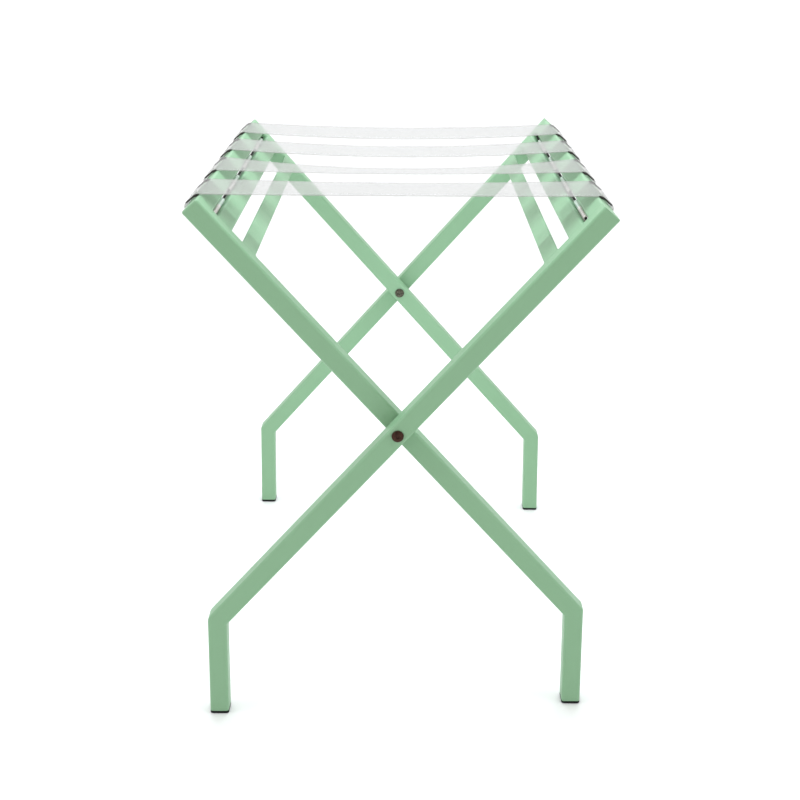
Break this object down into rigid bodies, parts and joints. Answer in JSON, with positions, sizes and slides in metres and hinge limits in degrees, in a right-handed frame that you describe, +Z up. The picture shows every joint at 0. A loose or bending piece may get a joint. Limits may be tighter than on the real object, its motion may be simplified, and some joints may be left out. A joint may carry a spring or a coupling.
{
  "type": "folding luggage rack",
  "caption": "Folding X-frame luggage rack of square steel tube, with flexible straps stretched between its top rails and rubber caps on its feet.",
  "frame": {"origin": "on the floor below the middle of the open rack", "axes": "+Z up, +Y along the top rails and the pivot axis from the front legs to the back legs, +X across the rack towards the outer frame's top rail"},
  "size_m": [0.4104, 0.5464, 0.5545],
  "materials": {
    "powder_coat": "satin mint green powder coat",
    "cap_rubber": "matt black",
    "rod_steel": "satin black",
    "bolt_bronze": "dark bronze plating",
    "nut_steel": "dull zinc plating",
    "washer_nylon": "natural nylon",
    "strap_vinyl": "frosted, translucent"
  },
  "bodies": {
    "frame_outer": {"leg_outer_front": "powder_coat", "foot_cap_outer_front": "cap_rubber", "leg_outer_back": "powder_coat", "foot_cap_outer_back": "cap_rubber", "top_rail_outer": "powder_coat", "strap_bar_outer": "powder_coat", "stretcher_outer": "powder_coat", "strap_rod_outer": "rod_steel", "strap_1_wrap_outer": "strap_vinyl", "strap_2_wrap_outer": "strap_vinyl", "strap_3_wrap_outer": "strap_vinyl", "strap_4_wrap_outer": "strap_vinyl", "strap_1_span": "strap_vinyl", "strap_2_span": "strap_vinyl", "strap_3_span": "strap_vinyl", "strap_4_span": "strap_vinyl", "pivot_bolt_front": "bolt_bronze", "pivot_nut_front": "nut_steel", "spacer_washer_front": "washer_nylon", "pivot_bolt_back": "bolt_bronze", "pivot_nut_back": "nut_steel", "spacer_washer_back": "washer_nylon"},
    "frame_inner": {"leg_inner_front": "powder_coat", "foot_cap_inner_front": "cap_rubber", "leg_inner_back": "powder_coat", "foot_cap_inner_back": "cap_rubber", "top_rail_inner": "powder_coat", "strap_bar_inner": "powder_coat", "stretcher_inner": "powder_coat", "strap_rod_inner": "rod_steel", "strap_1_wrap_inner": "strap_vinyl", "strap_2_wrap_inner": "strap_vinyl", "strap_3_wrap_inner": "strap_vinyl", "strap_4_wrap_inner": "strap_vinyl"}
  },
  "joints": [
    {"name": "fold", "type": "hinge", "parent": "frame_outer", "child": "frame_inner", "pos_m": [0, 0, 0.32495], "axis": [0, 1, 0], "range_deg": [0, 74], "deforming": ["strap_1_span", "strap_2_span", "strap_3_span", "strap_4_span"]}
  ]
}
